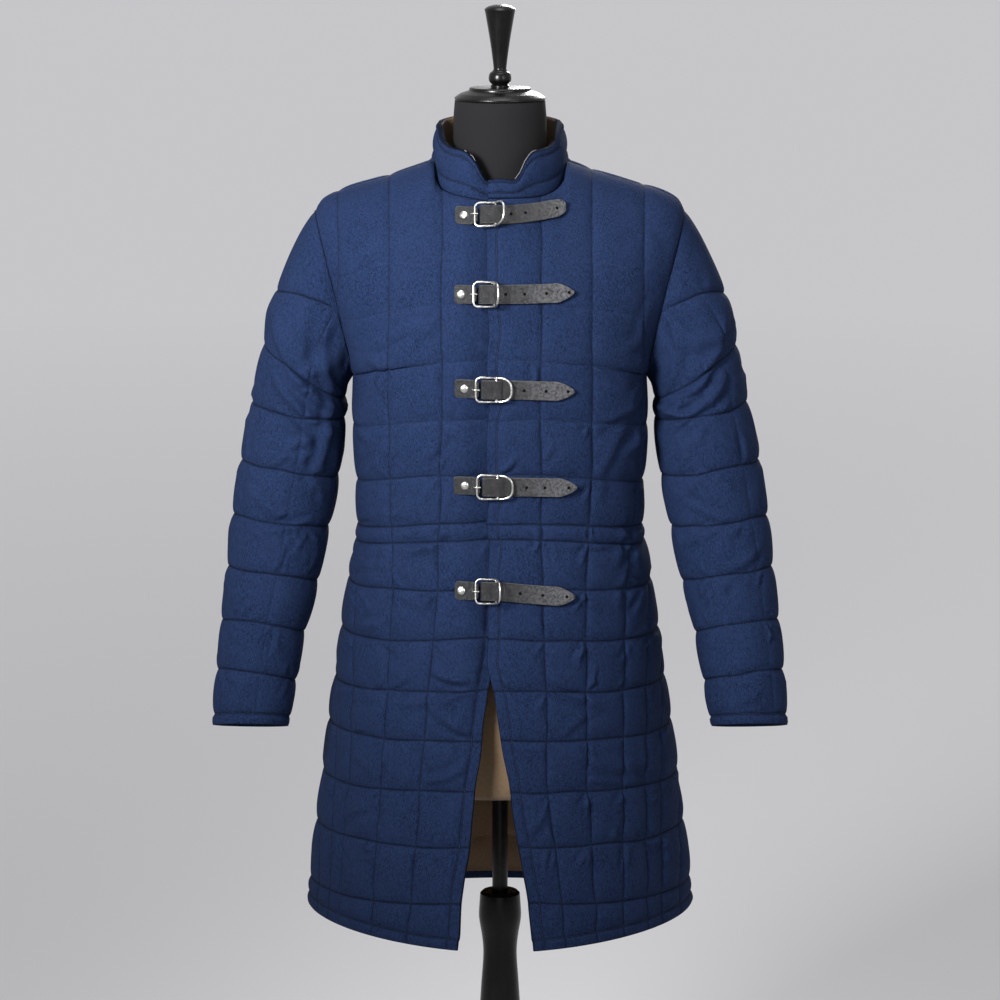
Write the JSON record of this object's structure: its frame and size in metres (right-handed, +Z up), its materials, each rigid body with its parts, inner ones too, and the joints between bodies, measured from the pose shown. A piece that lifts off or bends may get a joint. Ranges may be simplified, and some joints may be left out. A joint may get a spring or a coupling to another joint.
{
  "type": "gambeson on a dress form",
  "caption": "Knee-length quilted gambeson with standing collar, buckled front straps and open skirt, on a limbless dress form with turned stand.",
  "frame": {"origin": "centre of the base's flat underside, on the floor, in line with the pole", "axes": "+Z up the pole, -Y the garment's front, +X the wearer's left"},
  "size_m": [0.7356, 0.3678, 1.6785],
  "materials": {
    "quilted_cloth": "matt wool-like cloth, quilted",
    "leather": "dark strap leather, low sheen",
    "nickel": "nickel plate, lightly worn",
    "form_linen": "tan stretched cloth",
    "form_jersey": "charcoal jersey",
    "black_wood": "black gloss lacquer on turned wood",
    "black_metal": "black painted steel tube"
  },
  "bodies": {
    "root": {"front_left": "quilted_cloth", "front_right": "quilted_cloth", "back": "quilted_cloth", "sleeve_left": "quilted_cloth", "sleeve_right": "quilted_cloth", "collar": "quilted_cloth", "strap_1": "leather", "tab_1": "leather", "buckle_1": "nickel", "prong_1": "nickel", "rivet_1": "nickel", "strap_2": "leather", "tab_2": "leather", "buckle_2": "nickel", "prong_2": "nickel", "rivet_2": "nickel", "strap_3": "leather", "tab_3": "leather", "buckle_3": "nickel", "prong_3": "nickel", "rivet_3": "nickel", "strap_4": "leather", "tab_4": "leather", "buckle_4": "nickel", "prong_4": "nickel", "rivet_4": "nickel", "strap_5": "leather", "tab_5": "leather", "buckle_5": "nickel", "prong_5": "nickel", "rivet_5": "nickel", "form_torso": "form_linen", "form_neck": "form_jersey", "neck_cap": "black_wood", "finial": "black_wood", "pole": "black_metal", "column": "black_wood", "base": "black_wood"}
  },
  "joints": []
}
